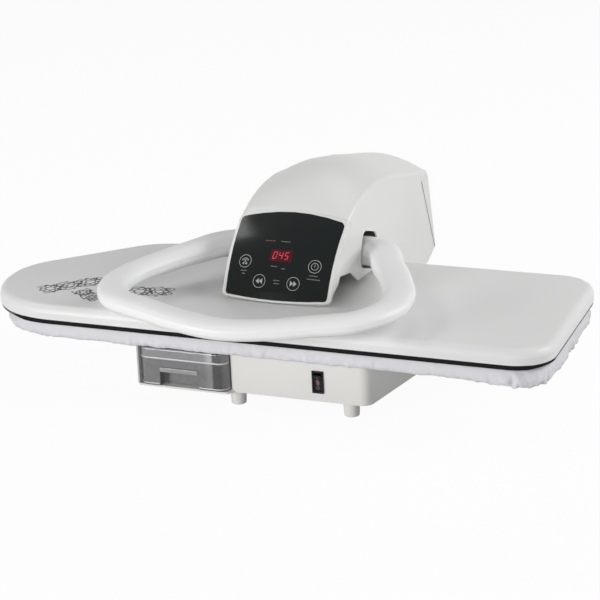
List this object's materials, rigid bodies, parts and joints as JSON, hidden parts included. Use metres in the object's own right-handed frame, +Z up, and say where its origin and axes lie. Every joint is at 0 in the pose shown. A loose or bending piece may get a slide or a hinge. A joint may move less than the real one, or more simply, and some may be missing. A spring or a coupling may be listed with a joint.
{
  "type": "steam ironing press",
  "caption": "Table-top steam ironing press: a padded board on a base with a water tank, and a heated upper plate that a looped handle lowers and locks.",
  "frame": {"origin": "on the table under the middle of the whole press at rest, closed and locked", "axes": "+X to the operator's right along the board, +Y to the rear where the head's hinge is, +Z up"},
  "size_m": [0.8064, 0.5798, 0.2697],
  "materials": {
    "shell": "warm white, fine satin",
    "gloss": "white, glossy",
    "feet": "cream, matt",
    "seal": "dark grey, matt",
    "cloth": "lilac white, woven",
    "foam": "open foam",
    "steel": "zinc plated, satin",
    "bronze": "sintered bronze, oiled",
    "hot_plate": "dark non-stick coat",
    "cast": "as cast",
    "smoke": "smoky clear, polished",
    "clear": "clear, polished",
    "lens": "black, mirror gloss",
    "red": "dark red, glossy",
    "black": "black, fine grain",
    "circuit": "green board, satin",
    "hose": "silicone, matt"
  },
  "bodies": {
    "base": {"base_floor": "shell", "base_shell": "shell", "foot_front_left": "feet", "foot_front_right": "feet", "foot_rear_left": "feet", "foot_rear_right": "feet", "tank_guide": "clear", "tank_dock": "black", "inlet_hose": "hose", "pump": "black", "power_board": "circuit", "rear_column": "shell", "cord_gland": "black", "hinge_bracket_left": "steel", "hinge_bracket_right": "steel", "bush_left": "bronze", "bush_right": "bronze", "hinge_shaft": "steel", "switch_bezel": "black", "board_pan": "steel", "foam_pad": "foam", "board_cover": "cloth"},
    "rocker": {"power_rocker": "black"},
    "tank": {"tank_body": "smoke", "tank_grip": "clear", "tank_seal": "seal", "tank_lid": "clear", "filler_cap": "seal", "tank_valve": "black"},
    "head": {"arm_frame": "steel", "yoke_pin": "steel", "lift_spring_left": "steel", "lift_spring_right": "steel", "steam_hose": "hose", "dome_cover": "shell", "rear_cover": "shell", "control_pod": "shell", "panel_lens": "lens", "display_window": "red", "pod_board": "circuit"},
    "plate": {"heated_plate": "hot_plate", "top_cover": "gloss", "steam_chamber": "cast", "heating_element": "steel", "thermostat": "black", "yoke": "steel"},
    "steam_button": {"key_steam": "lens"},
    "down_button": {"key_down": "lens"},
    "up_button": {"key_up": "lens"},
    "power_button": {"key_power": "lens"},
    "handle": {"handle_loop": "shell", "handle_shaft": "steel", "lock_cam": "steel"}
  },
  "joints": [
    {"name": "head_lift", "type": "hinge", "parent": "base", "child": "head", "pos_m": [0.01079, 0.21558, 0.13], "axis": [-1, 0, 0], "range_deg": [0, 40]},
    {"name": "plate_float", "type": "hinge", "parent": "head", "child": "plate", "pos_m": [0.01079, -0.04442, 0.152], "axis": [1, 0, 0], "range_deg": [0, 1.5]},
    {"name": "handle_lever", "type": "hinge", "parent": "head", "child": "handle", "pos_m": [0.01079, 0.03158, 0.16], "axis": [-1, 0, 0], "range_deg": [0, 12]},
    {"name": "tank_slide", "type": "slide", "parent": "base", "child": "tank", "axis": [0, -1, 0], "range_m": [0, 0.15]},
    {"name": "power_switch", "type": "hinge", "parent": "base", "child": "rocker", "pos_m": [0.09529, -0.17042, 0.0465], "axis": [-1, 0, 0], "range_deg": [0, 16]},
    {"name": "steam_press", "type": "slide", "parent": "head", "child": "steam_button", "axis": [0, 0.7793, -0.6266], "range_m": [0, 0.0006], "stiffness_N_per_m": 1000},
    {"name": "down_press", "type": "slide", "parent": "head", "child": "down_button", "axis": [0, 0.7793, -0.6266], "range_m": [0, 0.0006], "stiffness_N_per_m": 1000},
    {"name": "up_press", "type": "slide", "parent": "head", "child": "up_button", "axis": [0, 0.7793, -0.6266], "range_m": [0, 0.0006], "stiffness_N_per_m": 1000},
    {"name": "power_press", "type": "slide", "parent": "head", "child": "power_button", "axis": [0, 0.7793, -0.6266], "range_m": [0, 0.0006], "stiffness_N_per_m": 1000}
  ],
  "couplings": [
    {"joint": "plate_float", "follows": "head_lift", "ratio": 0.0375}
  ]
}
